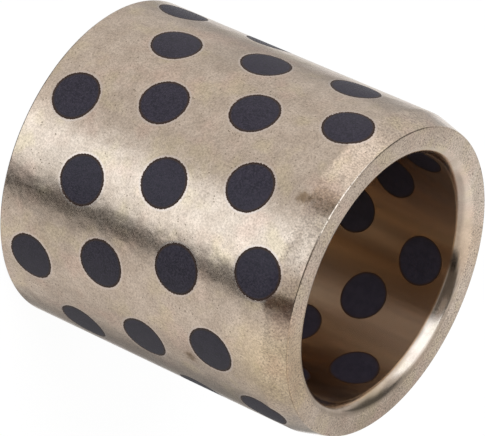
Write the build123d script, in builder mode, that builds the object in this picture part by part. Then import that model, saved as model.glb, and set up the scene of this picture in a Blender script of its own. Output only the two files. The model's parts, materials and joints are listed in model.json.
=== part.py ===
"""A graphite plugged bushing: a bronze sleeve with rings of graphite plugs through its wall.

The frame stands on the plain end of the sleeve: the origin is the centre of that end, +Z runs
up the bore to the tapered end, and angles are counted from +X towards +Y. Lengths are in mm and
angles in degrees.
"""

import os
from math import cos, radians, sin, tan

from build123d import *

# Sleeve
OUTSIDE_DIAMETER = 65.0
WALL_THICKNESS = 7.5
BORE_DIAMETER = OUTSIDE_DIAMETER - 2 * WALL_THICKNESS
LENGTH = 68.0
TAPER_LENGTH = 5.4  # the lead-in taper at the upper end, measured along the axis
TAPER_ANGLE = 15.0  # between the taper and the axis
BORE_EDGE_RADIUS = 2.5  # the round at both ends of the bore
PLAIN_EDGE_BREAK = 0.4  # the small chamfer round the outside of the plain end

# Plugs
PLUG_DIAMETER = 9.7  # the hole's diameter too: a plug is pressed in with no gap
PLUGS_PER_RING = 6
RING_TURN = -10.2  # how far each ring is turned round from the like ring below it

# Main rings, spread evenly between the first and the last
MAIN_RINGS = 4
PLAIN_END_TO_FIRST_RING = 7.8
LAST_RING_TO_TAPERED_END = 8.6
FIRST_PLUG_ANGLE = 15.4

# Rings that stand between the main rings, centred on the sleeve's length
BETWEEN_RINGS = 3
BETWEEN_CLOSER = 0.25  # how much closer together they stand than the main rings
BETWEEN_OFFSET_ANGLE = 25.0  # how far round they stand from the main ring below

outside_radius = OUTSIDE_DIAMETER / 2
bore_radius = BORE_DIAMETER / 2
taper_depth = TAPER_LENGTH * tan(radians(TAPER_ANGLE))
main_spacing = (LENGTH - PLAIN_END_TO_FIRST_RING - LAST_RING_TO_TAPERED_END) / (MAIN_RINGS - 1)
between_spacing = main_spacing - BETWEEN_CLOSER
drill_reach = OUTSIDE_DIAMETER  # from the axis out, well past the outside


def plug_rings():
    """(height, first plug's angle) of every ring, counted up from the plain end."""
    main = [
        (PLAIN_END_TO_FIRST_RING + main_spacing * i, FIRST_PLUG_ANGLE + RING_TURN * i)
        for i in range(MAIN_RINGS)
    ]
    middle = (BETWEEN_RINGS - 1) / 2
    between = [
        (
            LENGTH / 2 + between_spacing * (i - middle),
            FIRST_PLUG_ANGLE + BETWEEN_OFFSET_ANGLE + RING_TURN * i,
        )
        for i in range(BETWEEN_RINGS)
    ]
    return sorted(main + between)


def plug_plane(height, angle):
    """A plane on the sleeve's axis whose normal points out through a plug's centre."""
    outwards = (cos(radians(angle)), sin(radians(angle)), 0)
    return Plane(origin=(0, 0, height), x_dir=(0, 0, 1), z_dir=outwards)


plug_planes = {
    f"plug_{ring}_{place}": plug_plane(height, first + 360 / PLUGS_PER_RING * (place - 1))
    for ring, (height, first) in enumerate(plug_rings(), start=1)
    for place in range(1, PLUGS_PER_RING + 1)
}

# The sleeve as it is turned, before it is drilled
with BuildPart() as blank:
    with BuildSketch(Plane.XZ):
        with BuildLine():
            Polyline(
                (bore_radius, 0),
                (outside_radius - PLAIN_EDGE_BREAK, 0),
                (outside_radius, PLAIN_EDGE_BREAK),
                (outside_radius, LENGTH - TAPER_LENGTH),
                (outside_radius - taper_depth, LENGTH),
                (bore_radius, LENGTH),
                close=True,
            )
        make_face()
    revolve(axis=Axis.Z)
    bore = blank.faces().filter_by(GeomType.CYLINDER).sort_by(SortBy.RADIUS)[0]
    fillet(bore.edges().filter_by(GeomType.CIRCLE), radius=BORE_EDGE_RADIUS)

with BuildPart() as sleeve:
    add(blank.part)
    for plane in plug_planes.values():
        with BuildSketch(plane):
            Circle(PLUG_DIAMETER / 2)
        extrude(amount=drill_reach, mode=Mode.SUBTRACT)
sleeve.part.label = "sleeve"

os.makedirs("parts", exist_ok=True)
export_step(sleeve.part, "parts/sleeve.step")

# Each plug is a rod pressed through its hole, then turned off flush with the sleeve all over
for name, plane in plug_planes.items():
    with BuildPart() as plug:
        with BuildSketch(plane):
            Circle(PLUG_DIAMETER / 2)
        extrude(amount=drill_reach)
        add(blank.part, mode=Mode.INTERSECT)
    plug.part.label = name
    export_step(plug.part, f"parts/{name}.step")
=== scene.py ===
"""The looks of a graphite plugged bushing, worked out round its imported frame.

The bushing stands on its plain end: +Z runs up the bore to the tapered end. Shapes are computed
in millimetres and degrees, counted from +X towards +Y, and put into meshes in metres.
"""

import json

import bpy
import numpy as np
from mathutils import Matrix, Vector


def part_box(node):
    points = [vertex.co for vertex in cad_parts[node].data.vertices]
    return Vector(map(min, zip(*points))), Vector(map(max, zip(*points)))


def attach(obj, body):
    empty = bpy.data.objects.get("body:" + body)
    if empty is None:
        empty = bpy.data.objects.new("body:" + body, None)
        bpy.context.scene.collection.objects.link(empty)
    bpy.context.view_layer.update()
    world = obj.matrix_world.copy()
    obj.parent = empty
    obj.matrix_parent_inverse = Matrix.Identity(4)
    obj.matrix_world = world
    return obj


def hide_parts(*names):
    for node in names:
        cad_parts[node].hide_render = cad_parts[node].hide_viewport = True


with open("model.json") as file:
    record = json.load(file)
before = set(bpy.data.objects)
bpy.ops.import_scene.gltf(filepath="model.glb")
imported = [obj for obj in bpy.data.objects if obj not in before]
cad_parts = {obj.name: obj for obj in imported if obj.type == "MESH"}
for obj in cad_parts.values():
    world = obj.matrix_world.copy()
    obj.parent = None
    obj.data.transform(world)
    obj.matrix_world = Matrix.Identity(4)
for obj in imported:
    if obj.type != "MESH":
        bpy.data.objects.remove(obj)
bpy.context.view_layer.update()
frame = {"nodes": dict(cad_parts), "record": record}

# ---- Sizes ---------------------------------------------------------

MM = 0.001
RINGS = 7
PLUGS_PER_RING = 6

_, sleeve_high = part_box("sleeve")
OUTSIDE_RADIUS = sleeve_high.x / MM
LENGTH = sleeve_high.z / MM
BORE_RADIUS = next(
    mount["dims"]["r_mm"] for mount in frame["record"]["mounts"] if mount["name"] == "bore"
)
TAPER_LENGTH = 5.4
TAPER_ANGLE = 15.0
TAPER_CREASE = 0.14  # half the width of the soft crease where the taper starts
BORE_ROUND = 2.5  # height of the rounds at both ends of the bore
MOUTH_SIZE = 1.9  # radius of the tapered end's bore round next to the face
MOUTH_CHANGE = 50.0  # degrees after which that round goes on with a wider radius
MOUTH_TURN = 75.0  # degrees that it has turned where it meets the bore
PLAIN_EDGE_BREAK = 0.4
TAPERED_EDGE_ROUND = 0.36
FOOT_CREASE = 0.03  # height of the crease where the mouth's round meets the bore
FOOT_GAP = 0.3  # how far below that round the grid of patches ends

plug_low, plug_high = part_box("plug_1_1")
PLUG_RADIUS = (plug_high.z - plug_low.z) / 2 / MM
HOLE_EDGE_ROUND = 0.07
PLUG_EDGE_BREAK = 0.12
PLUG_EDGE_DEPTH = 0.15

SIDE_STEPS = 10  # grid steps along half a side of the patch round a plug
ROUND_STEPS = 8 * SIDE_STEPS  # points round a plug
STRIPS = 2 * PLUGS_PER_RING  # strips of patches round the bushing
STRIP_WIDTH = 360 / STRIPS
FAR_FROM_RIM = 10.0  # the rim distance given to points that are nowhere near a hole


def plug_place(ring, place):
    """Height and angle of a plug's axis: the middles of its span of heights and of angles."""
    node = frame["nodes"][f"plug_{ring}_{place}"]
    corners = np.empty(len(node.data.vertices) * 3, np.float32)
    node.data.vertices.foreach_get("co", corners)
    x, y, z = corners.reshape(-1, 3).T.astype(float) / MM
    middle = np.degrees(np.arctan2(y.mean(), x.mean()))
    off = np.degrees(np.arctan2(y, x)) - middle
    off = (off + 180) % 360 - 180
    return (z.min() + z.max()) / 2, middle + (off.min() + off.max()) / 2


plug_places = {
    (ring, place): plug_place(ring, place)
    for ring in range(1, RINGS + 1)
    for place in range(1, PLUGS_PER_RING + 1)
}
ring_heights = np.array([plug_places[ring, 1][0] for ring in range(1, RINGS + 1)])
first_angle = plug_places[1, 1][1]
grid_low = BORE_ROUND
grid_high = LENGTH - BORE_ROUND - FOOT_GAP
twist = (plug_places[RINGS, 1][1] - first_angle) / (ring_heights[-1] - ring_heights[0])
levels = np.concatenate([[grid_low], ring_heights, [grid_high]])


def turned(height):
    """Degrees that the grid has turned at a height: a helix in step with the rings of plugs."""
    return twist * (height - ring_heights[0])


# ---- The two walls, as radius and slope against height -------------


def outside_wall(height):
    """Radius and inward slope of the outside: a cylinder and a cone, joined by a hyperbola."""
    past = height - (LENGTH - TAPER_LENGTH)
    bend = np.hypot(past, TAPER_CREASE)
    steepness = np.tan(np.radians(TAPER_ANGLE))
    return OUTSIDE_RADIUS - steepness * (past + bend) / 2, steepness * (1 + past / bend) / 2


def bore_wall(height):
    """Radius and slope of the bore, which is a plain cylinder."""
    return BORE_RADIUS + 0 * height, 0 * height


def directions(angle):
    """Unit vectors out from the bore's axis and round it, at each angle."""
    turn = np.radians(angle)
    flat = np.zeros_like(turn)
    out = np.stack([np.cos(turn), np.sin(turn), flat], -1)
    around = np.stack([-np.sin(turn), np.cos(turn), flat], -1)
    return out, around


UP = np.array([0.0, 0.0, 1.0])


def on_wall(wall, facing, angle, height):
    """Points of a wall and its normals, at angles round the axis and heights up it: each lies
    out from the axis by the wall's radius at its height. Facing is 1 outside and -1 in the bore.
    """
    angle, height = np.broadcast_arrays(np.asarray(angle, float), np.asarray(height, float))
    radius, slope = wall(height)
    out, _ = directions(angle)
    points = radius[..., None] * out + height[..., None] * UP
    normals = (out + slope[..., None] * UP) / np.hypot(1, slope)[..., None]
    return points, facing * normals


def round_plug(wall, facing, height, angle, reach, depth, lean):
    """Rings round a plug's axis, one for each reach from it, sunk by depth under the wall.

    A point at turn t of a ring lies reach * sin(t) across and reach * cos(t) along the bushing
    from the plug's axis. Its normal leans by `lean` degrees from the wall's own normal towards
    the plug's axis, or away from it where lean is negative.
    """
    turn = np.linspace(0, 2 * np.pi, ROUND_STEPS, endpoint=False)
    reach, depth, lean = (np.asarray(a, float).reshape(len(a), -1) for a in (reach, depth, lean))
    across = reach * np.sin(turn)
    along = height + reach * np.cos(turn)
    radius, _ = wall(along)
    distance = np.sqrt((radius - facing * depth) ** 2 - across**2)
    out, around = directions(angle)
    points = distance[..., None] * out + across[..., None] * around + along[..., None] * UP
    at = angle + np.degrees(np.arctan2(across, distance))
    _, normals = on_wall(wall, facing, at, along)
    inwards = -(np.sin(turn)[:, None] * around + np.cos(turn)[:, None] * UP)
    lean = np.radians(lean)[..., None]
    normals = np.cos(lean) * normals + np.sin(lean) * inwards
    return points, normals, at, along, reach + 0 * across


# ---- Meshes --------------------------------------------------------

WELD = 1e-4  # mm within which two points are one


def placed(name, data):
    """A new object in the scene, at the origin."""
    made = bpy.data.objects.new(name, data)
    bpy.context.scene.collection.objects.link(made)
    return made


class Shell:
    """Grids of points gathered into one mesh, where points in the same place are welded."""

    def __init__(self):
        self.points = []
        self.normals = []
        self.rims = []
        self.faces = []
        self.finishes = []
        self.count = 0

    def grid(self, points, normals, rim, finish, closed=False, turned_over=False):
        """Adds a grid of rows by columns; closed joins its last column to its first."""
        rows, columns = points.shape[:2]
        index = self.count + np.arange(rows * columns).reshape(rows, columns)
        if closed:
            index = np.concatenate([index, index[:, :1]], 1)
        faces = np.stack([index[:-1, :-1], index[:-1, 1:], index[1:, 1:], index[1:, :-1]], -1)
        faces = faces.reshape(-1, 4)
        self.faces.append(faces[:, ::-1] if turned_over else faces)
        self.points.append(points.reshape(-1, 3))
        self.normals.append(normals.reshape(-1, 3))
        self.rims.append(np.broadcast_to(rim, (rows, columns)).ravel())
        self.finishes.append(np.full(len(faces), finish))
        self.count += rows * columns

    def piece(self, name, materials):
        """The mesh object: smooth, with the computed normals and the distance to the rim."""
        points = np.concatenate(self.points)
        _, first, where = np.unique(
            np.round(points / WELD).astype(np.int64), axis=0, return_index=True, return_inverse=True
        )
        faces = where.reshape(-1)[np.concatenate(self.faces)]
        corners = [list(dict.fromkeys(face)) for face in faces.tolist()]
        mesh = bpy.data.meshes.new(name)
        mesh.from_pydata(points[first] * MM, [], corners)
        mesh.shade_smooth()
        mesh.polygons.foreach_set("material_index", np.concatenate(self.finishes).astype(np.int32))
        rim = mesh.attributes.new("rim", "FLOAT", "POINT")
        rim.data.foreach_set("value", np.concatenate(self.rims)[first].astype(np.float32))
        normals = np.concatenate(self.normals)[first]
        normals /= np.linalg.norm(normals, axis=1)[:, None]
        mesh.normals_split_custom_set_from_vertices(normals)
        for material in materials:
            mesh.materials.append(material)
        return placed(name, mesh)


# ---- The bronze sleeve ---------------------------------------------

OUTSIDE_FINISH, END_FINISH, BORE_FINISH = range(3)

EDGE_HALFWAY = 0.29 * HOLE_EDGE_ROUND  # half way round a hole's edge: 1 - cos 45 degrees
EDGE_MARGIN = 2.5 * HOLE_EDGE_ROUND  # how far out the last ring of the edge lies
# Rings from a hole's wall to the sleeve's surface: reach past the hole, depth, lean of normal
HOLE_EDGE = (
    (0.0, HOLE_EDGE_ROUND, 90),
    (EDGE_HALFWAY, EDGE_HALFWAY, 45),
    (HOLE_EDGE_ROUND, 0.0, 0),
    (EDGE_MARGIN, 0.0, 0),
)
BORE_HOLE_EDGE = ((0.0, 0.0, 0), (EDGE_MARGIN, 0.0, 0))
OUTSIDE_PATCH_ROWS = 8
BORE_PATCH_ROWS = 6


def steps_between(low, high):
    """Heights of even steps from one level to the next, one of them moved onto the crease."""
    heights = np.linspace(low, high, SIDE_STEPS + 1)
    crease = LENGTH - TAPER_LENGTH
    if low < crease < high:
        heights[np.abs(heights - crease).argmin()] = crease
    return heights


def patch_border(ring, strip_centre):
    """Angles and heights of the border of the patch round a plug, from the middle of its top and
    towards +angle: even steps along the four sides of a strip that turns with the grid."""
    half = STRIP_WIDTH / 2
    low, middle, high = levels[ring - 1 : ring + 2]
    up = np.concatenate([steps_between(low, middle)[:-1], steps_between(middle, high)])
    across = np.linspace(-half, half, 2 * SIDE_STEPS + 1)
    offset = np.concatenate(
        [across[SIDE_STEPS:-1], 0 * up[1:] + half, across[:0:-1], 0 * up[1:] - half,
         across[:SIDE_STEPS]]
    )
    height = np.concatenate(
        [0 * across[SIDE_STEPS:-1] + high, up[:0:-1], 0 * across[1:] + low, up[:-1],
         0 * across[:SIDE_STEPS] + high]
    )
    return strip_centre + offset + turned(height), height


def hole_patch(wall, facing, ring, place, edge, rows):
    """The wall round one hole: the rings of its edge, then rows in which the angle and height
    are circle + share * (border - circle), with the share growing evenly to 1."""
    height, angle = plug_places[ring, place]
    strip_centre = first_angle + STRIP_WIDTH * (2 * (place - 1) + (ring - 1) % 2)
    reach, depth, lean = np.array(edge).T
    points, normals, at, along, from_axis = round_plug(
        wall, facing, height, angle, PLUG_RADIUS + reach, depth, lean
    )
    border_angle, border_height = patch_border(ring, strip_centre)
    border_angle = border_angle + 360 * np.round((at[-1] - border_angle) / 360)
    share = (np.arange(1, rows + 1) / rows)[:, None]
    spread_angle = at[-1] + share * (border_angle - at[-1])
    spread_height = along[-1] + share * (border_height - along[-1])
    spread, spread_normals = on_wall(wall, facing, spread_angle, spread_height)
    radius, _ = wall(spread_height)
    from_hole = np.hypot(
        radius * np.sin(np.radians(spread_angle - angle)), spread_height - height
    )
    return (
        np.concatenate([points, spread]),
        np.concatenate([normals, spread_normals]),
        np.concatenate([from_axis, from_hole]) - PLUG_RADIUS,
    )


def add_holes(shell):
    """Both walls round every hole, and the hole's own wall between them."""
    for ring, place in plug_places:
        outer, outer_normals, outer_rim = hole_patch(
            outside_wall, 1, ring, place, HOLE_EDGE, OUTSIDE_PATCH_ROWS
        )
        inner, inner_normals, inner_rim = hole_patch(
            bore_wall, -1, ring, place, BORE_HOLE_EDGE, BORE_PATCH_ROWS
        )
        shell.grid(outer, outer_normals, outer_rim, OUTSIDE_FINISH, closed=True)
        shell.grid(inner, inner_normals, inner_rim, BORE_FINISH, closed=True, turned_over=True)
        shell.grid(
            np.stack([inner[0], outer[0]]),
            np.stack([inner_normals[0], outer_normals[0]]),
            0.0,
            OUTSIDE_FINISH,
            closed=True,
        )


def add_plain_patches(shell):
    """The plain ends of the strips whose plugs stand in the rings between, as grids of angle by
    height on both walls."""
    across = np.linspace(-STRIP_WIDTH / 2, STRIP_WIDTH / 2, 2 * SIDE_STEPS + 1)
    for strip in range(1, STRIPS, 2):
        for low, high in (levels[:2], levels[-2:]):
            height = steps_between(low, high)[:, None]
            angle = first_angle + STRIP_WIDTH * strip + across + turned(height)
            for wall, facing, finish in (
                (outside_wall, 1, OUTSIDE_FINISH),
                (bore_wall, -1, BORE_FINISH),
            ):
                points, normals = on_wall(wall, facing, angle, height)
                shell.grid(points, normals, FAR_FROM_RIM, finish, turned_over=facing < 0)


def arc(centre_radius, centre_height, size, start, end, steps):
    """Radius, height and normal angle of points on an arc of a turned profile: its centre plus
    size * (cos, sin) of the angle, which is counted from straight out towards straight up."""
    lean = np.linspace(start, end, steps + 1)
    turn = np.radians(lean)
    return np.stack(
        [centre_radius + size * np.cos(turn), centre_height + size * np.sin(turn), lean], -1
    )


# Steps along the parts of the ends' profiles
TAPER_STEPS, CORNER_STEPS, FACE_STEPS, MOUTH_STEPS, FOOT_STEPS = 4, 6, 5, 12, 8
PLAIN_MOUTH_STEPS, PLAIN_FACE_STEPS = 8, 4


def tapered_end():
    """The tapered end's profile as radius, height and normal angle, and its parts: first point,
    last point and finish. From the outside to the bore it is a cone, a round corner, the flat
    face, and a mouth whose arc of MOUTH_SIZE goes on as a wider one to BORE_ROUND under the face.
    """
    high_radius, _ = outside_wall(grid_high)
    top_radius, _ = outside_wall(LENGTH)
    cone = np.radians(TAPER_ANGLE)
    size = TAPERED_EDGE_ROUND
    corner_radius = top_radius - size / np.cos(cone) * (1 - np.sin(cone))
    corner = arc(corner_radius, LENGTH - size, size, TAPER_ANGLE, 90, CORNER_STEPS)
    taper = np.linspace((high_radius, grid_high, TAPER_ANGLE), corner[0], TAPER_STEPS + 1)[:-1]
    foot_height = LENGTH - BORE_ROUND
    change, turn = np.radians(MOUTH_CHANGE), np.radians(MOUTH_TURN)
    wide = (BORE_ROUND - MOUTH_SIZE * (1 - np.cos(change))) / (np.cos(change) - np.cos(turn))
    low_edge = arc(
        BORE_RADIUS + wide * np.sin(turn), foot_height - wide * np.cos(turn), wide,
        90 + MOUTH_CHANGE, 90 + MOUTH_TURN, FOOT_STEPS,
    )
    high_edge = arc(
        low_edge[0, 0] + MOUTH_SIZE * np.sin(change), LENGTH - MOUTH_SIZE, MOUTH_SIZE,
        90, 90 + MOUTH_CHANGE, MOUTH_STEPS,
    )
    face = np.linspace(corner[-1], high_edge[0], FACE_STEPS + 1)[1:-1]
    foot = [(BORE_RADIUS, foot_height - FOOT_CREASE, 180), (BORE_RADIUS, grid_high, 180)]
    profile = np.concatenate([taper, corner, face, high_edge[:-1], low_edge, foot])
    to_edge = len(taper)
    last = len(profile) - 1
    to_bore = last - len(foot) - 1  # the bored finish takes in the round's last step
    return profile, (
        (0, to_edge, OUTSIDE_FINISH), (to_edge, to_bore, END_FINISH), (to_bore, last, BORE_FINISH)
    )


def plain_end():
    """The plain end's profile and its parts, like the tapered end's: from the bore to the outside
    it is a quarter round, the flat face, and an edge break of 45 degrees with soft edges."""
    middle = BORE_RADIUS + BORE_ROUND
    mouth = arc(middle, BORE_ROUND, BORE_ROUND, 180, 270, PLAIN_MOUTH_STEPS)
    size = PLAIN_EDGE_BREAK
    flat = 0.15 * size  # how far the edge break's own soft edges reach
    edge_break = [
        (OUTSIDE_RADIUS - size - flat, 0, 270),
        (OUTSIDE_RADIUS - size + flat, flat, 315),
        (OUTSIDE_RADIUS - flat, size - flat, 315),
        (OUTSIDE_RADIUS, size + flat, 360),
        (OUTSIDE_RADIUS, (size + grid_low) / 2, 360),
        (OUTSIDE_RADIUS, grid_low, 360),
    ]
    face = np.linspace(mouth[-1], edge_break[0], PLAIN_FACE_STEPS + 1)[1:-1]
    profile = np.concatenate([mouth, face, edge_break])
    last = len(profile) - 1
    return profile, ((0, last - 2, END_FINISH), (last - 2, last, OUTSIDE_FINISH))


def add_ends(shell):
    """Both ends: their profiles turned round the axis, in step with the grid."""
    steps = STRIPS * 2 * SIDE_STEPS
    edge_angle = first_angle - STRIP_WIDTH / 2 + 360 * np.arange(steps) / steps
    for (profile, parts), level in ((tapered_end(), grid_high), (plain_end(), grid_low)):
        radius, height, lean = (profile[:, i][:, None] for i in range(3))
        out, _ = directions(edge_angle + turned(level))
        points = radius[..., None] * out + height[..., None] * UP
        lean = np.radians(lean)[..., None]
        normals = np.cos(lean) * out + np.sin(lean) * UP
        for first, last, finish in parts:
            rows = slice(first, last + 1)
            shell.grid(points[rows], normals[rows], FAR_FROM_RIM, finish, closed=True)


def bronze_sleeve():
    """The sleeve, as one closed shell that has no plugs in it."""
    shell = Shell()
    add_holes(shell)
    add_plain_patches(shell)
    add_ends(shell)
    finishes = [bronze_outside_material(), bronze_end_material(), bronze_bore_material()]
    made = shell.piece("bronze_sleeve", finishes)
    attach(made, "root")
    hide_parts("sleeve")
    return made


# ---- The graphite plugs --------------------------------------------

GROUND_FINISH, BORED_FINISH = range(2)
CAP_SHARES = (0.0, 0.25, 0.5, 0.72, 0.88, 1.0)  # rows of a plug's cap, as shares of its flat
# Rings from a plug's flat to its wall: share of the edge break's width and depth, lean of normal
PLUG_EDGE = ((0.35, 0.1, -35), (0.8, 0.5, -70), (1.0, 1.0, -90))
BORE_EDGE_SHARE = 0.15  # the plugs were bored with the sleeve, so inside they have hardly an edge
EDGE_CHIPS = 0.22  # how much the width of the edge break varies, as a share of it
CHIP_WAVES = (3, 5, 8, 13, 17, 23)


def chipped(random):
    """The edge break's width round a plug, as a share of its size: a sum of sine waves."""
    turn = np.linspace(0, 2 * np.pi, ROUND_STEPS, endpoint=False)
    waves = np.array(CHIP_WAVES)[:, None]
    phases = random.uniform(0, 2 * np.pi, (len(CHIP_WAVES), 1))
    total = np.sin(waves * turn + phases).sum(0) / np.sqrt(len(CHIP_WAVES))
    return 1 + EDGE_CHIPS * total


def plug_cap(wall, facing, height, angle, share, random):
    """Rows of a plug's end, from its middle to its wall: a flat that follows the bushing's wall,
    then a broken edge, as a share of its full size, whose width wanders round the plug."""
    width = share * PLUG_EDGE_BREAK * chipped(random)
    flat = PLUG_RADIUS - width
    edge = np.array(PLUG_EDGE)
    reach = np.concatenate([np.outer(CAP_SHARES, flat), flat + edge[:, :1] * width])
    edge_depth = share * edge[:, 1:2] * PLUG_EDGE_DEPTH + 0 * width
    depth = np.concatenate([np.zeros((len(CAP_SHARES), ROUND_STEPS)), edge_depth])
    lean = np.concatenate([np.zeros(len(CAP_SHARES)), edge[:, 2]])
    points, normals, _, _, from_axis = round_plug(wall, facing, height, angle, reach, depth, lean)
    return points, normals, PLUG_RADIUS - from_axis


def graphite_plug(ring, place, materials):
    """One plug: two caps, and between their edges the wall, a round prism along its axis."""
    height, angle = plug_places[ring, place]
    random = np.random.default_rng(PLUGS_PER_RING * ring + place)
    outer, outer_normals, outer_rim = plug_cap(outside_wall, 1, height, angle, 1.0, random)
    inner, inner_normals, inner_rim = plug_cap(
        bore_wall, -1, height, angle, BORE_EDGE_SHARE, random
    )
    shell = Shell()
    wall = np.stack([outer[-1], inner[-1]])
    wall_normals = np.stack([outer_normals[-1], inner_normals[-1]])
    shell.grid(outer, outer_normals, outer_rim, GROUND_FINISH, closed=True)
    shell.grid(wall, wall_normals, 0.0, GROUND_FINISH, closed=True)
    shell.grid(inner, inner_normals, inner_rim, BORED_FINISH, closed=True, turned_over=True)
    made = shell.piece(f"graphite_plug_{ring}_{place}", materials)
    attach(made, "root")
    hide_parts(f"plug_{ring}_{place}")
    return made


# ---- Shader nodes --------------------------------------------------


def give(tree, socket, value):
    """Gives a socket a value, or another node's output to read."""
    if isinstance(value, bpy.types.NodeSocket):
        tree.links.new(value, socket)
    else:
        socket.default_value = value


def put(tree, kind, sockets=None, **settings):
    """A new node, with its sockets and settings given."""
    made = tree.nodes.new(kind)
    for name, value in settings.items():
        setattr(made, name, value)
    for key, value in (sockets or {}).items():
        give(tree, made.inputs[key], value)
    return made


def calc(tree, operation, *values):
    """The result of a Math node."""
    return put(tree, "ShaderNodeMath", dict(enumerate(values)), operation=operation).outputs[0]


def vector(tree, operation, *values):
    """The result of a Vector Math node: a number for a length or a distance."""
    made = put(tree, "ShaderNodeVectorMath", dict(enumerate(values)), operation=operation)
    return made.outputs["Value" if operation in ("LENGTH", "DISTANCE") else "Vector"]


def ramp(tree, value, low, high, to_low=0.0, to_high=1.0):
    """The value taken smoothly from low..high to to_low..to_high."""
    sockets = {
        "Value": value, "From Min": low, "From Max": high, "To Min": to_low, "To Max": to_high
    }
    return put(tree, "ShaderNodeMapRange", sockets, interpolation_type="SMOOTHSTEP").outputs[0]


def beyond(tree, value, edge, softness):
    """0 where the value is below the edge and 1 above it, smooth for the softness either side."""
    low = calc(tree, "SUBTRACT", edge, softness)
    return ramp(tree, value, low, calc(tree, "ADD", edge, softness))


def within(tree, value, edge, softness):
    """1 where the value is below the edge and 0 above it, smooth for the softness either side."""
    low = calc(tree, "SUBTRACT", edge, softness)
    return ramp(tree, value, low, calc(tree, "ADD", edge, softness), 1.0, 0.0)


def tint(tree, mask, first, second, mode="MIX"):
    """The first colour turned into the second where the mask is 1."""
    made = tree.nodes.new("ShaderNodeMix")
    made.data_type = "RGBA"
    made.blend_type = mode
    for index, value in ((0, mask), (6, first), (7, second)):
        give(tree, made.inputs[index], value)
    return made.outputs[2]


def colour(red, green, blue):
    """A colour for a node socket."""
    return (red, green, blue, 1.0)


def light_colour(light):
    """A light's colour for a node socket: one brightness for a grey, or red, green and blue."""
    return colour(*(float(part) for part in np.broadcast_to(light, 3)))


def effect(name, inputs, outputs):
    """A new node group with the named inputs and outputs, and the nodes that stand for them."""
    group = bpy.data.node_groups.new(name, "ShaderNodeTree")
    for socket, kind, value in inputs:
        made = group.interface.new_socket(socket, in_out="INPUT", socket_type=f"NodeSocket{kind}")
        if value is not None:
            made.default_value = value
    for socket, kind in outputs:
        group.interface.new_socket(socket, in_out="OUTPUT", socket_type=f"NodeSocket{kind}")
    given = group.nodes.new("NodeGroupInput").outputs
    return group, given, group.nodes.new("NodeGroupOutput").inputs


def grouped(tree, group, **sockets):
    """The first output of a node group, placed in a tree with its own values."""
    made = tree.nodes.new("ShaderNodeGroup")
    made.node_tree = group
    for name, value in sockets.items():
        give(tree, made.inputs[name.replace("_", " ")], value)
    return made.outputs[0]


def noise(tree, place, size, detail=2.0, roughness=0.5):
    """Fractal noise from 0 to 1, whose lumps have about the given size."""
    scale = calc(tree, "DIVIDE", 1.0, size)
    sockets = {"Vector": place, "Scale": scale, "Detail": detail, "Roughness": roughness}
    return put(tree, "ShaderNodeTexNoise", sockets).outputs["Fac"]


def grain_group():
    """Grain: fractal noise whose lumps have the given size, from 0 to 1."""
    group, given, result = effect(
        "grain",
        [("Place", "Vector", None), ("Size", "Float", MM), ("Detail", "Float", 2.0)],
        [("Height", "Float")],
    )
    lumps = noise(group, given["Place"], given["Size"], given["Detail"], 0.55)
    group.links.new(lumps, result["Height"])
    return group


def clouds_group():
    """Clouds: soft patches of the given size, 0 outside and 1 inside; Cover is their share."""
    group, given, result = effect(
        "clouds",
        [("Place", "Vector", None), ("Size", "Float", MM), ("Cover", "Float", 0.5),
         ("Softness", "Float", 0.1)],
        [("Mask", "Float")],
    )
    lumps = noise(group, given["Place"], given["Size"], 3.0)
    edge = calc(group, "SUBTRACT", 1.0, given["Cover"])
    group.links.new(beyond(group, lumps, edge, given["Softness"]), result["Mask"])
    return group


def pits_group():
    """Pits: specks of about the given size at the centres of Voronoi cells, in a share of them."""
    group, given, result = effect(
        "pits",
        [("Place", "Vector", None), ("Size", "Float", MM), ("Spacing", "Float", MM),
         ("Share", "Float", 0.3)],
        [("Mask", "Float")],
    )
    shake = put(
        group, "ShaderNodeTexNoise",
        {"Vector": given["Place"], "Scale": calc(group, "DIVIDE", 1.5, given["Size"])},
    )
    moved = vector(group, "SUBTRACT", shake.outputs["Color"], (0.5, 0.5, 0.5))
    moved = vector(group, "MULTIPLY", moved, given["Size"])
    place = vector(group, "ADD", given["Place"], moved)
    cells = put(
        group, "ShaderNodeTexVoronoi",
        {"Vector": place, "Scale": calc(group, "DIVIDE", 1.0, given["Spacing"])},
    )
    pick = put(group, "ShaderNodeSeparateColor", {0: cells.outputs["Color"]})
    chosen = calc(group, "LESS_THAN", pick.outputs[0], given["Share"])
    size = calc(group, "DIVIDE", given["Size"], given["Spacing"])
    own = calc(group, "MULTIPLY", size, calc(group, "ADD", 0.35, pick.outputs[1]))
    inside = calc(group, "SUBTRACT", 1.0, calc(group, "DIVIDE", cells.outputs["Distance"], own))
    mask = calc(group, "MULTIPLY", ramp(group, inside, 0.0, 0.6), chosen)
    group.links.new(mask, result["Mask"])
    return group


def rim_band_group():
    """Rim band: 1 within a ragged width of a plug's rim, read from the piece's rim distance."""
    group, given, result = effect(
        "rim_band",
        [("Place", "Vector", None), ("Rim", "Float", 0.0), ("Width", "Float", 0.2),
         ("Softness", "Float", 0.1), ("Ragged", "Float", 0.0), ("Size", "Float", MM)],
        [("Mask", "Float")],
    )
    lumps = noise(group, given["Place"], given["Size"], 1.0)
    wander = calc(group, "MULTIPLY", calc(group, "SUBTRACT", lumps, 0.5), given["Ragged"])
    edge = calc(group, "ADD", given["Width"], wander)
    group.links.new(within(group, given["Rim"], edge, given["Softness"]), result["Mask"])
    return group


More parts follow.
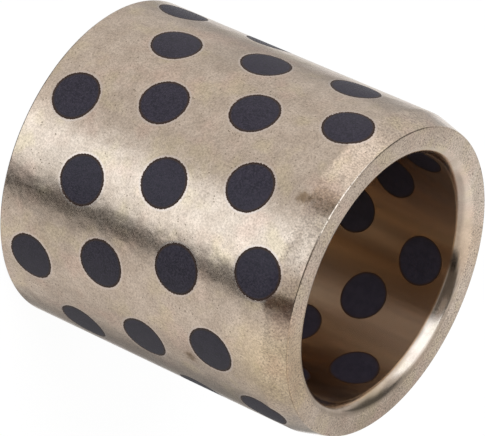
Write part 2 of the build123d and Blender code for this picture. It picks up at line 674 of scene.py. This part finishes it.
def grain_tone_group():
    """Grain tone: a colour made lighter and darker by grain, by up to the given amount."""
    group, given, result = effect(
        "grain_tone",
        [("Color", "Color", None), ("Place", "Vector", None), ("Size", "Float", MM),
         ("Amount", "Float", 0.1)],
        [("Color", "Color")],
    )
    lumps = noise(group, given["Place"], given["Size"], 2.0, 0.7)
    tone = calc(group, "MULTIPLY", ramp(group, lumps, 0.3, 0.7, -1.0, 1.0), given["Amount"])
    toned = vector(group, "MULTIPLY", given["Color"], calc(group, "ADD", 1.0, tone))
    group.links.new(toned, result["Color"])
    return group


def patch_group():
    """Patch: 1 near a spot on the piece, falling softly to 0 at its reach, in a ragged outline."""
    group, given, result = effect(
        "patch",
        [("Place", "Vector", None), ("Spot", "Vector", None), ("Near", "Float", 0.0),
         ("Reach", "Float", MM), ("Ragged", "Float", 0.0)],
        [("Mask", "Float")],
    )
    away = vector(group, "DISTANCE", given["Place"], given["Spot"])
    lumps = noise(group, given["Place"], calc(group, "DIVIDE", given["Reach"], 3.0))
    wander = calc(group, "MULTIPLY", calc(group, "SUBTRACT", lumps, 0.5), given["Ragged"])
    away = calc(group, "ADD", away, wander)
    group.links.new(ramp(group, away, given["Near"], given["Reach"], 1.0, 0.0), result["Mask"])
    return group


GRAIN = grain_group()
PATCH = patch_group()
GRAIN_TONE = grain_tone_group()
CLOUDS = clouds_group()
PITS = pits_group()
RIM_BAND = rim_band_group()


def emptied(data):
    """The node tree of a material or a world, with nothing in it."""
    data.use_nodes = True
    data.node_tree.nodes.clear()
    return data.node_tree


def surface(name):
    """A new material: its node tree, its Principled node and the place on the piece."""
    material = bpy.data.materials.new(name)
    tree = emptied(material)
    skin = tree.nodes.new("ShaderNodeBsdfPrincipled")
    put(tree, "ShaderNodeOutputMaterial", {"Surface": skin.outputs[0]})
    place = tree.nodes.new("ShaderNodeTexCoord").outputs["Object"]
    return material, tree, skin, place


def feed(tree, skin, **sockets):
    """Gives the Principled node its values and links."""
    for name, value in sockets.items():
        give(tree, skin.inputs[name.replace("_", " ")], value)


def bumped(tree, height, distance, normal=None):
    """The normal of a bump of the given height, on top of another bump's normal."""
    made = put(tree, "ShaderNodeBump", {"Height": height, "Distance": distance, "Strength": 1.0})
    if normal is not None:
        tree.links.new(normal, made.inputs["Normal"])
    return made.outputs[0]


# ---- Finishes ------------------------------------------------------

BRONZE = colour(0.68, 0.555, 0.45)
BRONZE_DULL = colour(0.585, 0.47, 0.375)
BRONZE_PINK = colour(0.70, 0.51, 0.41)
BRONZE_YELLOW = colour(0.68, 0.56, 0.38)
# paler round the plugs: worn, and in part a painted halo of light
BRONZE_RUBBED_AND_HALO = colour(0.70, 0.59, 0.51)
# dark at the holes' edges: a stain, and in part the painted shade of the groove round each plug
BRONZE_STAINED_AND_SHADED = colour(0.11, 0.055, 0.04)
BRONZE_PIT = colour(0.22, 0.17, 0.125)
# Shades that the bronze is multiplied by: on the tapered end, on the outside and in the bore;
# some of them paint light and shade onto it
# painted light: the tapered end's face made brighter in a patch
END_PAINTED_LIGHT = colour(1.27, 1.31, 1.34)
# painted shade: the tapered end's face made darker in patches
END_PAINTED_SHADE = colour(0.74, 0.73, 0.71)
END_STRAW = colour(0.96, 0.90, 0.77)
MOUTH_WARM = colour(1.0, 0.93, 0.85)
OUTSIDE_STRAW = colour(1.0, 0.975, 0.84)
# painted light: the outside made brighter in patches
OUTSIDE_PAINTED_LIGHT = colour(1.22, 1.22, 1.22)
# painted light: the outside made brighter still in a patch
OUTSIDE_PAINTED_LIGHTER = colour(1.42, 1.42, 1.42)
# the outside made darker in patches
OUTSIDE_DARKER = colour(0.86, 0.86, 0.86)
# dark brown smudges: a stain, and in part a painted reflection where the taper's dark streak starts
OUTSIDE_STAIN_AND_REFLECTION = colour(0.52, 0.46, 0.38)
# warmer in the bore: the bored bronze's own colour, and in part painted warmth of bounced light
BORE_WARM_AND_BOUNCE = colour(0.98, 0.825, 0.67)
GRAPHITE = colour(0.007, 0.0045, 0.014)
GRAPHITE_PALE = colour(0.015, 0.011, 0.024)
GRAPHITE_GRAIN = colour(0.036, 0.029, 0.046)
GRAPHITE_EDGE = colour(0.030, 0.013, 0.007)
GRAPHITE_BORED = colour(0.019, 0.017, 0.026)
GRAPHITE_BORED_PALE = colour(0.027, 0.023, 0.034)


def bronze_colour_group():
    """Bronze colour: bronze mottled duller, pinker and yellower in soft patches of about a size."""
    group, given, result = effect(
        "bronze_colour", [("Place", "Vector", None), ("Size", "Float", MM)], [("Color", "Color")]
    )
    mixed = BRONZE
    for shift, widening, cover, softness, share, other in (
        ((0.0, 0.0, 0.0), 1.0, 0.5, 0.18, 1.0, BRONZE_DULL),
        ((0.3, 0.1, 0.2), 2.4, 0.4, 0.1, 0.5, BRONZE_PINK),
        ((0.1, 0.4, 0.5), 2.0, 0.4, 0.1, 0.5, BRONZE_YELLOW),
    ):
        moved = vector(group, "ADD", given["Place"], shift)
        size = calc(group, "MULTIPLY", given["Size"], widening)
        cloud = grouped(group, CLOUDS, Place=moved, Size=size, Cover=cover, Softness=softness)
        mixed = tint(group, calc(group, "MULTIPLY", cloud, share), mixed, other)
    group.links.new(mixed, result["Color"])
    return group


BRONZE_COLOUR = bronze_colour_group()


def patched(tree, place, radius, angle, height, near, reach, ragged):
    """The mask of a patch round the spot at the given radius, angle and height."""
    turn = np.radians(angle)
    middle = (radius * MM * np.cos(turn), radius * MM * np.sin(turn), height * MM)
    return grouped(
        tree, PATCH, Place=place, Spot=middle, Near=near * MM, Reach=reach * MM, Ragged=ragged * MM
    )


# Patches on the outside, the brighter ones painted light: angle and height of the middle, how
# far the patch is full, where it ends, how much its outline wanders, and its shade
OUTSIDE_PATCHES = (
    (-43.0, 66.0, 4.0, 14.0, 5.0, OUTSIDE_STRAW),
    (-71.0, 46.0, 2.0, 9.0, 4.0, OUTSIDE_PAINTED_LIGHT),
    (-75.0, 54.5, 1.5, 7.0, 3.0, OUTSIDE_PAINTED_LIGHT),
    (-74.0, 36.0, 1.5, 6.5, 3.0, OUTSIDE_PAINTED_LIGHT),
    (-52.0, 60.5, 1.0, 7.0, 3.0, OUTSIDE_PAINTED_LIGHT),
    (-97.0, 1.5, 1.5, 7.0, 3.0, OUTSIDE_PAINTED_LIGHT),
    (-17.0, 3.0, 4.0, 13.0, 4.0, OUTSIDE_PAINTED_LIGHTER),
    (-59.0, 13.0, 3.0, 11.0, 4.0, OUTSIDE_DARKER),
    (-81.0, 11.0, 1.0, 6.5, 3.0, OUTSIDE_DARKER),
    (-83.0, 66.0, 0.5, 3.5, 2.0, OUTSIDE_DARKER),
    (-33.0, 48.5, 1.5, 7.0, 3.0, OUTSIDE_DARKER),
    (-146.0, 27.5, 1.0, 8.0, 4.0, OUTSIDE_DARKER),
    (-32.0, 45.4, 0.3, 2.0, 2.0, OUTSIDE_STAIN_AND_REFLECTION),
    (-104.0, 61.8, 0.3, 2.0, 2.0, OUTSIDE_STAIN_AND_REFLECTION),
)
# Patches on the tapered end, the first three painted light and shade: radius, angle and height
# of the middle, how far the patch is full, where it ends, how much its outline wanders, its share
# on the mouth's polish and on the face, and its shade
END_PATCHES = (
    (29.0, 138.0, LENGTH, 4.0, 34.0, 12.0, 1.0, 1.0, END_PAINTED_LIGHT),
    (29.0, 32.0, LENGTH, 2.0, 25.0, 10.0, 0.35, 1.0, END_PAINTED_SHADE),
    (29.0, -25.0, LENGTH, 4.0, 26.0, 12.0, 0.4, 0.4, END_PAINTED_SHADE),
    (31.0, -43.0, 66.0, 4.0, 18.0, 8.0, 1.0, 1.0, END_STRAW),
    (25.5, 118.0, 66.5, 2.0, 9.0, 3.0, 1.0, 1.0, MOUTH_WARM),
)
POLISH_SHARES = (0.45, 1.15)  # where the end's polish fades out, in heights of the bore round
POLISH = 0.04  # how much less rough it is
TAPER_POLISH = 0.05  # how much less rough the taper is than the rest of the outside
TAPER_FLATTER = 0.6  # the share that its pebbles are lower
TAPER_TONE = 0.1  # how much more its grain shades it
OUTSIDE_TONE = 0.19
END_TONES = (0.03, 0.3)  # how much grain shades the polish and the face
BORE_STREAK_TONE = 0.07
BORE_GRAIN_TONE = 0.05
EDGE_WEAR = 0.1  # half the width in which the face turns as smooth at its outer edge
OUTSIDE_ROUGHNESS = (0.22, 0.275)
END_ROUGHNESS = (0.2, 0.26)
BORE_ROUGHNESS = 0.27
GRAPHITE_ROUGHNESS = (0.40, 0.57)
MOTTLE_SIZE = 3.2  # size of the bronze's soft patches of colour
BORE_MOTTLE_SIZE = 4.0
BORE_STREAK_SIZE = 2.2
BORE_DRAWN = 0.02  # what heights shrink to in the bore's pattern, which draws it into streaks
PEBBLE_SIZE = 0.42  # the tumbled outside's pebbles
PEBBLE_HEIGHT = 0.010
WAVE_SIZE = 7.0  # the outside's slow unevenness
WAVE_HEIGHT = 0.22
END_GRAIN_SIZE = 0.4
GRAPHITE_GRAIN_SIZE = 0.4
GRAPHITE_GRAIN_HEIGHT = 0.06


def bronze_outside_material():
    """The tumbled outside: satin, pebbled and pitted, with patches of painted light, darker
    patches, dark brown smudges that are a stain and in part a painted reflection, a band round
    the plugs worn paler and in part a painted halo of light, a dark band at the holes that is a
    stain and in part the groove's painted shade, and smoother on the taper."""
    material, tree, skin, place = surface("bronze_outside")
    rim = put(tree, "ShaderNodeAttribute", None, attribute_name="rim").outputs["Fac"]
    height = put(tree, "ShaderNodeSeparateXYZ", {0: place}).outputs["Z"]
    crease = (LENGTH - TAPER_LENGTH) * MM
    on_taper = ramp(tree, height, crease - 0.1 * MM, crease + 0.3 * MM)
    mixed = grouped(tree, BRONZE_COLOUR, Place=place, Size=MOTTLE_SIZE * MM)
    # patches of painted light, of a darker tone, smudges in part a painted reflection, and a tint
    for angle, level, near, reach, ragged, shade in OUTSIDE_PATCHES:
        radius, _ = outside_wall(level)
        patch = patched(tree, place, radius, angle, level, near, reach, ragged)
        mixed = tint(tree, patch, mixed, shade, "MULTIPLY")
    amount = calc(tree, "MULTIPLY", on_taper, TAPER_TONE)
    amount = calc(tree, "ADD", OUTSIDE_TONE, amount)
    mixed = grouped(tree, GRAIN_TONE, Color=mixed, Place=place, Size=0.4 * MM, Amount=amount)
    pits = grouped(tree, PITS, Place=place, Size=0.16 * MM, Spacing=0.5 * MM, Share=0.32)
    pitted = grouped(tree, GRAIN, Place=place, Size=11.0 * MM, Detail=1.0)
    pitted = ramp(tree, pitted, 0.35, 0.65, 0.45, 1.0)
    mixed = tint(tree, calc(tree, "MULTIPLY", pits, pitted), mixed, BRONZE_PIT)
    # a band round the plugs worn paler, and in part a painted halo of light
    rubbed_and_halo = grouped(
        tree, RIM_BAND, Place=place, Rim=rim, Width=0.45, Softness=0.2, Ragged=0.3, Size=0.5 * MM
    )
    mixed = tint(tree, rubbed_and_halo, mixed, BRONZE_RUBBED_AND_HALO)
    # a dark band at the holes: a stain, and in part the groove's painted shade
    stained_and_shaded = grouped(
        tree, RIM_BAND, Place=place, Rim=rim, Width=0.11, Softness=0.035, Ragged=0.5, Size=0.3 * MM
    )
    mixed = tint(tree, calc(tree, "MULTIPLY", stained_and_shaded, 0.9), mixed, BRONZE_STAINED_AND_SHADED)
    pebbles = grouped(tree, GRAIN, Place=place, Size=PEBBLE_SIZE * MM, Detail=2.0)
    smoother = calc(tree, "MULTIPLY", on_taper, -TAPER_POLISH)
    roughness = calc(tree, "ADD", ramp(tree, pebbles, 0.25, 0.75, *OUTSIDE_ROUGHNESS), smoother)
    waves = grouped(tree, GRAIN, Place=place, Size=WAVE_SIZE * MM, Detail=2.2)
    normal = bumped(tree, waves, WAVE_HEIGHT * MM)
    flatter = calc(tree, "SUBTRACT", 1.0, calc(tree, "MULTIPLY", on_taper, TAPER_FLATTER))
    pebbles = calc(tree, "MULTIPLY", pebbles, flatter)
    normal = bumped(tree, pebbles, PEBBLE_HEIGHT * MM, normal)
    feed(tree, skin, Base_Color=mixed, Metallic=1.0, Roughness=roughness, Normal=normal)
    return material


def bronze_end_material():
    """The turned end faces: pebbled and pitted like the outside, with patches of painted light and
    shade and of tint, and polished where they run into the bore."""
    material, tree, skin, place = surface("bronze_end")
    radius = vector(tree, "LENGTH", vector(tree, "MULTIPLY", place, (1.0, 1.0, 0.0)))
    low, high = ((BORE_RADIUS + share * BORE_ROUND) * MM for share in POLISH_SHARES)
    rough = ramp(tree, radius, low, high)
    mixed = grouped(tree, BRONZE_COLOUR, Place=place, Size=MOTTLE_SIZE * MM)
    # patches of painted light and shade on the face, and tints
    for *where, on_polish, on_face, shade in END_PATCHES:
        share = ramp(tree, rough, 0.0, 1.0, on_polish, on_face)
        patch = calc(tree, "MULTIPLY", patched(tree, place, *where), share)
        mixed = tint(tree, patch, mixed, shade, "MULTIPLY")
    amount = ramp(tree, rough, 0.0, 1.0, *END_TONES)
    mixed = grouped(tree, GRAIN_TONE, Color=mixed, Place=place, Size=0.38 * MM, Amount=amount)
    pits = grouped(tree, PITS, Place=place, Size=0.19 * MM, Spacing=0.5 * MM, Share=0.36)
    mixed = tint(tree, calc(tree, "MULTIPLY", pits, rough), mixed, BRONZE_PIT)
    grain = grouped(tree, GRAIN, Place=place, Size=END_GRAIN_SIZE * MM, Detail=2.0)
    top_radius, _ = outside_wall(LENGTH)
    rim = (top_radius - TAPERED_EDGE_ROUND) * MM
    worn = beyond(tree, radius, rim, EDGE_WEAR * MM)
    polish = calc(tree, "ADD", calc(tree, "SUBTRACT", 1.0, rough), worn)
    polish = calc(tree, "MULTIPLY", polish, -POLISH)
    roughness = calc(tree, "ADD", ramp(tree, grain, 0.25, 0.75, *END_ROUGHNESS), polish)
    flatter = ramp(tree, rough, 0.0, 1.0, 0.35, 1.0)
    normal = bumped(tree, calc(tree, "MULTIPLY", grain, flatter), PEBBLE_HEIGHT * MM)
    feed(tree, skin, Base_Color=mixed, Metallic=1.0, Roughness=roughness, Normal=normal)
    return material


def bronze_bore_material():
    """The bored wall: fine marks draw its reflections out along the bore, in streaks, and its
    colour is warmed, in part with painted warmth of the light bounced round inside the bore.
    """
    material, tree, skin, place = surface("bronze_bore")
    drawn = vector(tree, "MULTIPLY", place, (1.0, 1.0, BORE_DRAWN))
    mixed = grouped(tree, BRONZE_COLOUR, Place=drawn, Size=BORE_MOTTLE_SIZE * MM)
    # warmer in the bore: its own colour, and in part painted warmth of bounced light
    mixed = tint(tree, 1.0, mixed, BORE_WARM_AND_BOUNCE, "MULTIPLY")
    for pattern, size, amount in (
        (drawn, BORE_STREAK_SIZE, BORE_STREAK_TONE),
        (place, END_GRAIN_SIZE, BORE_GRAIN_TONE),
    ):
        mixed = grouped(
            tree, GRAIN_TONE, Color=mixed, Place=pattern, Size=size * MM, Amount=amount
        )
    feed(tree, skin, Base_Color=mixed, Metallic=1.0, Roughness=BORE_ROUGHNESS)
    feed(tree, skin, Anisotropic=0.95, Anisotropic_Rotation=0.25)
    return material


def graphite_material(name, dark, pale, grainy):
    """Graphite: matt blue-black, faintly mottled and grained, brown at its edge."""
    material, tree, skin, place = surface(name)
    rim = put(tree, "ShaderNodeAttribute", None, attribute_name="rim").outputs["Fac"]
    patches = grouped(tree, CLOUDS, Place=place, Size=1.6 * MM, Cover=0.5, Softness=0.15)
    mixed = tint(tree, patches, dark, pale)
    grain = grouped(tree, GRAIN, Place=place, Size=GRAPHITE_GRAIN_SIZE * MM, Detail=2.0)
    mixed = tint(tree, ramp(tree, grain, 0.35, 0.75, 0.0, grainy), mixed, GRAPHITE_GRAIN)
    edge = grouped(
        tree, RIM_BAND, Place=place, Rim=rim, Width=0.35, Softness=0.2, Ragged=0.2, Size=0.35 * MM
    )
    mixed = tint(tree, edge, mixed, GRAPHITE_EDGE)
    roughness = ramp(tree, grain, 0.3, 0.7, *GRAPHITE_ROUGHNESS)
    normal = bumped(tree, grain, GRAPHITE_GRAIN_HEIGHT * MM)
    feed(tree, skin, Base_Color=mixed, Roughness=roughness, Normal=normal)
    feed(tree, skin, Specular_IOR_Level=0.4)
    return material


# ---- The studio ----------------------------------------------------

CAMERA_PLACE = (0.000123, -0.696512, 0.442886)
CAMERA_TILT = 30.454  # degrees below the horizon
CAMERA_ROLL = 114.11
CAMERA_LENS = 313.95
SENSOR_WIDTH = 36.0

FLOOR_HALF = 4.0
FLOOR_DROP = 0.00002  # metres that it lies under the bushing
ROOM_LIGHT = 0.5  # the world's brightness, except to a reflection

# The studio round the bushing, as the bronze mirrors it: soft panels, each laid over the ones
# before it, with the azimuth and elevation of its middle, its half width and half height and its
# softness in degrees, and its brightness or colour
PLATEAU = 0.69  # brightness where no panel is
PANELS = (
    (-150, -30, 22, 30, 14, 0.74),
    (26, -22, 18, 15, 7, (0.58, 0.57, 0.56)),
    (65, -51, 22, 32, 10, 0.24),
    (95, -35, 19, 36, 5, 1.03),
    (84, -32, 4, 24, 3, 1.2),
    (119, -19, 7, 7, 3, (0.70, 0.72, 0.74)),
    (129, -34, 11, 16, 6, 0.44),
    (-16, -32, 26, 34, 14, 0.78),
    (-80, -40, 19.5, 43, 8, (1.34, 1.45, 1.55)),
    (-67, -36, 5, 30, 4, (1.18, 1.25, 1.30)),
    (36, 58, 58, 28, 12, 0.79),
    (90, 72, 10, 16, 5, 0.42),
    (0, 11, 38, 12, 7, 0.48),
    (108, 40, 14, 20, 5, 0.60),
    (101, 10, 11, 16, 6, 0.52),
    (-132, 39, 31, 33, 3, (1.70, 1.91, 2.15)),
    (-162, 68, 24, 12, 6, (1.2, 1.3, 1.4)),
    (-40, 84, 100, 8, 4, 0.42),
    (-160, 1, 24, 16, 8, 1.05),
    (-147, -3, 6, 8, 5, 1.18),
    (-118, 9, 8, 8, 7, (0.75, 0.80, 0.85)),
    (-125, -2, 5, 9, 4, (0.58, 0.54, 0.48)),
    (-117.5, -2, 4.5, 9, 2.5, (0.18, 0.14, 0.10)),
    (-76, 46.5, 28, 39.5, 4.5, (0.085, 0.075, 0.065)),
    (-92, 46, 11, 16, 6, (0.28, 0.25, 0.23)),
    (-49.5, -22, 8.5, 60, 3, 0.0),
    (-70, -2, 5, 8, 4, (0.88, 0.87, 0.86)),
    (-61, -4, 5, 9, 3, (0.57, 0.54, 0.51)),
    (-36, -1, 4, 9, 4, (0.62, 0.61, 0.60)),
    (-47.5, -3, 7.5, 9, 4, (0.08, 0.05, 0.04)),
    (138, 42, 26, 18, 12, 0.34),
    (157, 40, 24, 17, 7, 0.12),
    (148, 22, 18, 10, 6, 0.12),
)


def panel_group():
    """Panel: 1 within a half width and half height of a direction, softly falling to 0."""
    group, given, result = effect(
        "panel",
        [("Direction", "Vector", None), ("Azimuth", "Float", 0.0), ("Elevation", "Float", 0.0),
         ("Half Width", "Float", 0.0), ("Half Height", "Float", 0.0), ("Softness", "Float", 0.0)],
        [("Mask", "Float")],
    )
    back = calc(group, "MULTIPLY", given["Azimuth"], -1.0)
    turned_back = put(
        group, "ShaderNodeVectorRotate", {"Vector": given["Direction"], "Angle": back},
        rotation_type="Z_AXIS",
    )
    parts = put(group, "ShaderNodeSeparateXYZ", {0: turned_back.outputs[0]}).outputs
    azimuth = calc(group, "ABSOLUTE", calc(group, "ARCTAN2", parts["Y"], parts["X"]))
    elevation = calc(group, "SUBTRACT", calc(group, "ARCSINE", parts["Z"]), given["Elevation"])
    elevation = calc(group, "ABSOLUTE", elevation)
    wide = within(group, azimuth, given["Half Width"], given["Softness"])
    high = within(group, elevation, given["Half Height"], given["Softness"])
    group.links.new(calc(group, "MULTIPLY", wide, high), result["Mask"])
    return group


def studio_light():
    """A white world that lights evenly; metal mirrors it as a room of soft panels."""
    world = bpy.data.worlds.new("studio")
    bpy.context.scene.world = world
    tree = emptied(world)
    direction = tree.nodes.new("ShaderNodeTexCoord").outputs["Generated"]
    panel = panel_group()
    room = light_colour(PLATEAU)
    for azimuth, elevation, half_width, half_height, softness, light in PANELS:
        mask = grouped(
            tree, panel, Direction=direction,
            Azimuth=np.radians(azimuth), Elevation=np.radians(elevation),
            Half_Width=np.radians(half_width), Half_Height=np.radians(half_height),
            Softness=np.radians(softness),
        )
        room = tint(tree, mask, room, light_colour(light))
    path = tree.nodes.new("ShaderNodeLightPath").outputs
    seen = tint(tree, path["Is Glossy Ray"], light_colour(ROOM_LIGHT), room)
    white = calc(tree, "MAXIMUM", path["Is Camera Ray"], path["Is Transmission Ray"])
    seen = tint(tree, white, seen, colour(1, 1, 1))
    background = put(tree, "ShaderNodeBackground", {"Color": seen})
    put(tree, "ShaderNodeOutputWorld", {"Surface": background.outputs[0]})


FLOOR_GLOW = 0.94  # the part of the floor's white that no shadow reaches
FLOOR_CLOTH = 0.92
FLOOR_CLOTH_SEEN = 0.1  # how pale the cloth under that glow is


def floor():
    """A plain white square floor: part of its white is its own, so shadows on it stay pale."""
    mesh = bpy.data.meshes.new("floor")
    half = FLOOR_HALF
    mesh.from_pydata(
        [(-half, -half, -FLOOR_DROP), (half, -half, -FLOOR_DROP), (half, half, -FLOOR_DROP),
         (-half, half, -FLOOR_DROP)],
        [],
        [(0, 1, 2, 3)],
    )
    made = placed("floor", mesh)
    material = bpy.data.materials.new("white_floor")
    tree = emptied(material)
    path = tree.nodes.new("ShaderNodeLightPath").outputs
    seen = calc(tree, "MAXIMUM", path["Is Camera Ray"], path["Is Glossy Ray"])
    seen = calc(tree, "MAXIMUM", seen, path["Is Transmission Ray"])
    pale = ramp(tree, seen, 0.0, 1.0, FLOOR_CLOTH, FLOOR_CLOTH_SEEN)
    cloth = put(tree, "ShaderNodeBsdfDiffuse", {"Color": pale})
    glow = put(
        tree, "ShaderNodeEmission",
        {"Color": colour(1, 1, 1), "Strength": calc(tree, "MULTIPLY", seen, FLOOR_GLOW)},
    )
    mixed = put(tree, "ShaderNodeAddShader", {0: cloth.outputs[0], 1: glow.outputs[0]})
    put(tree, "ShaderNodeOutputMaterial", {"Surface": mixed.outputs[0]})
    mesh.materials.append(material)
    made.visible_glossy = False


SHADE_DROP = 0.00001  # a hair above the floor
BORE_SHADE = colour(0.08, 0.065, 0.05)
# Spots of painted light on that shade, a later one over an earlier one: the middle, how far the
# spot is full, where it ends, and its colour
PAINTED_LIGHT_SPOTS = (
    (-13.5, -1.0, 5.0, 12.0, (0.58, 0.57, 0.51)),
    (16.5, -0.5, 3.0, 9.0, (1.25, 1.27, 1.05)),
    (-3.0, -9.5, 2.0, 9.0, 0.42),
    (5.0, -17.0, 1.5, 6.5, (0.95, 0.78, 0.50)),
    (-19.0, -8.0, 3.0, 11.0, (0.95, 1.10, 1.20)),
)


def bore_shade():
    """A glowing flat disc painted with the shade of the floor under the bore, with spots of painted
    light, which only reflections see; its corners lie evenly on a circle."""
    turn = np.linspace(0, 2 * np.pi, ROUND_STEPS, endpoint=False)
    ring = np.stack([np.cos(turn), np.sin(turn), 0 * turn], -1)
    points = ring * OUTSIDE_RADIUS * MM - np.array([0, 0, SHADE_DROP])
    mesh = bpy.data.meshes.new("bore_shade")
    mesh.from_pydata(points, [], [list(range(ROUND_STEPS))])
    made = placed("bore_shade", mesh)
    material = bpy.data.materials.new("painted_floor_shade")
    tree = emptied(material)
    place = tree.nodes.new("ShaderNodeTexCoord").outputs["Object"]
    light = BORE_SHADE
    for x, y, near, reach, spot_light in PAINTED_LIGHT_SPOTS:
        patch = grouped(
            tree, PATCH, Place=place, Spot=(x * MM, y * MM, 0.0), Near=near * MM, Reach=reach * MM
        )
        light = tint(tree, patch, light, light_colour(spot_light))
    # the disc glows with this painted shade and painted light, though it is no lamp
    dim = put(tree, "ShaderNodeEmission", {"Color": light})
    put(tree, "ShaderNodeOutputMaterial", {"Surface": dim.outputs[0]})
    mesh.materials.append(material)
    made.visible_camera = False
    made.visible_diffuse = False
    made.visible_shadow = False


LAMP_SIZE = 0.8
LAMP_POWER = 9.0
LAMP_PLACE = (-0.6, -0.7, 1.0)
LAMP_AIM = (0.0, 0.0, 0.03)


def lamp():
    """One large soft lamp, above and to the left of the camera's side."""
    light = bpy.data.lights.new("soft_lamp", "AREA")
    light.shape = "DISK"
    light.size = LAMP_SIZE
    light.energy = LAMP_POWER
    made = placed("soft_lamp", light)
    made.location = LAMP_PLACE
    aim = Vector(LAMP_AIM) - made.location
    made.rotation_euler = aim.to_track_quat("-Z", "Y").to_euler()
    made.visible_glossy = False


def camera():
    """The camera, rolled so that the bushing lies across its picture."""
    lens = bpy.data.cameras.new("camera")
    lens.lens = CAMERA_LENS
    lens.sensor_width = SENSOR_WIDTH
    lens.sensor_fit = "HORIZONTAL"
    lens.clip_start = 0.01
    lens.clip_end = 50.0
    made = placed("camera", lens)
    made.matrix_world = (
        Matrix.Translation(CAMERA_PLACE)
        @ Matrix.Rotation(np.radians(90 - CAMERA_TILT), 4, "X")
        @ Matrix.Rotation(np.radians(CAMERA_ROLL), 4, "Z")
    )
    bpy.context.scene.camera = made


camera()
studio_light()
floor()
bore_shade()
lamp()
bronze_sleeve()
graphite = [
    graphite_material("graphite_ground", GRAPHITE, GRAPHITE_PALE, 1.0),
    graphite_material("graphite_bored", GRAPHITE_BORED, GRAPHITE_BORED_PALE, 0.4),
]
for ring, place in plug_places:
    graphite_plug(ring, place, graphite)

bpy.context.scene.view_settings.view_transform = "Standard"
